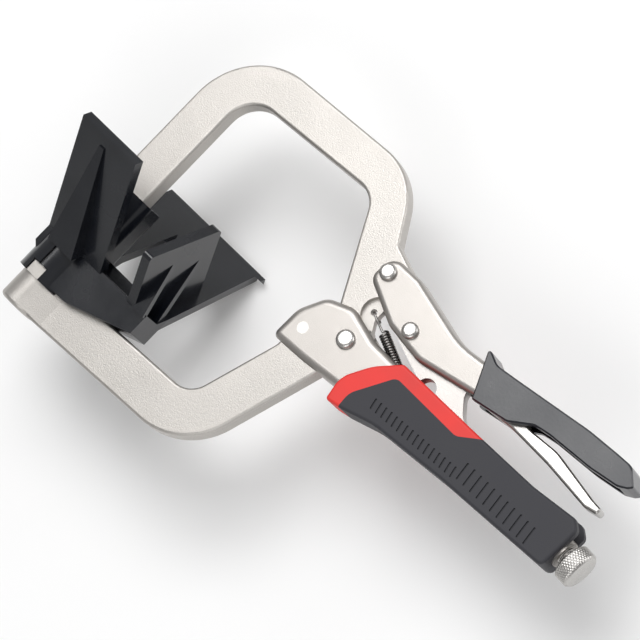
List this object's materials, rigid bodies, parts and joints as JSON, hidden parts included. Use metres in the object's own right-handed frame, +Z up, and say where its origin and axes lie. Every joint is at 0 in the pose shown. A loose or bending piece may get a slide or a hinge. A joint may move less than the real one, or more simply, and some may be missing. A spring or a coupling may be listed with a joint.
{
  "type": "locking corner clamp pliers",
  "caption": "Locking pliers with deep C-shaped arms and right-angle corner pads, a moulded grip, an adjusting screw and an over-centre lever.",
  "frame": {"origin": "centre of the footprint, at the lowest point of the outer pad, with the tool lying on its side", "axes": "+X from the jaws towards the adjusting knob, +Y from the fixed jaw to the movable jaw, +Z up across the tool's thickness"},
  "size_m": [0.281, 0.1587, 0.1062],
  "materials": {
    "nickel_forging": "bead-blasted nickel plate",
    "nickel_sheet": "satin nickel plate",
    "nickel_bright": "bright nickel plate",
    "dark_link": "plated steel",
    "spring_wire": "dark spring wire",
    "black_casting": "gloss black powder coat",
    "red_moulding": "matte soft moulding",
    "grip_moulding": "matte soft moulding",
    "black_dip": "satin dipped vinyl"
  },
  "bodies": {
    "handle_side": {"fixed_handle": "nickel_sheet", "fixed_jaw": "nickel_forging", "fixed_jaw_rivet": "nickel_bright", "jaw_pivot_rivet": "nickel_bright", "spring_anchor": "nickel_bright", "outer_pad": "black_casting", "handle_grip": "grip_moulding", "grip_band": "red_moulding", "return_spring": "spring_wire"},
    "jaw_side": {"movable_jaw": "nickel_forging", "inner_pad": "black_casting", "inner_pad_pin": "black_casting", "lever_rivet": "nickel_bright"},
    "lever_side": {"lever": "nickel_sheet", "lever_sleeve": "black_dip", "link_rivet": "nickel_bright", "release_pin": "nickel_bright"},
    "link_side": {"toggle_link": "dark_link"},
    "release_side": {"release_lever": "nickel_bright"},
    "screw_side": {"adjusting_screw": "nickel_bright"},
    "knob_side": {"knob": "nickel_bright"}
  },
  "joints": [
    {"name": "jaw_swing", "type": "hinge", "parent": "handle_side", "child": "jaw_side", "pos_m": [-0.00155, 0.00945, 0.0531], "axis": [0, 0, 1], "range_deg": [-18, 0], "deforming": ["return_spring"]},
    {"name": "lever_swing", "type": "hinge", "parent": "jaw_side", "child": "lever_side", "pos_m": [-0.00885, 0.04185, 0.0531], "axis": [0, 0, 1], "range_deg": [0, 62.2]},
    {"name": "link_swing", "type": "hinge", "parent": "lever_side", "child": "link_side", "pos_m": [0.01675, 0.03045, 0.0531], "axis": [0, 0, 1], "range_deg": [-64, 0]},
    {"name": "release_squeeze", "type": "hinge", "parent": "lever_side", "child": "release_side", "pos_m": [0.06845, 0.03705, 0.0531], "axis": [0, 0, 1], "range_deg": [0, 6]},
    {"name": "screw_travel", "type": "slide", "parent": "handle_side", "child": "screw_side", "axis": [0.9986, -0.0523, 0], "range_m": [0, 0.0136]},
    {"name": "knob_turn", "type": "hinge", "parent": "screw_side", "child": "knob_side", "pos_m": [-0.00126, 0.01499, 0.0531], "axis": [0.9986, -0.0523, 0], "range_deg": [0, 3456]}
  ],
  "couplings": [
    {"joint": "lever_swing", "follows": "jaw_swing", "ratio": -3.45},
    {"joint": "link_swing", "follows": "jaw_swing", "ratio": 3.55},
    {"joint": "screw_travel", "follows": "knob_turn", "m_per_rad": 0.0001989}
  ]
}
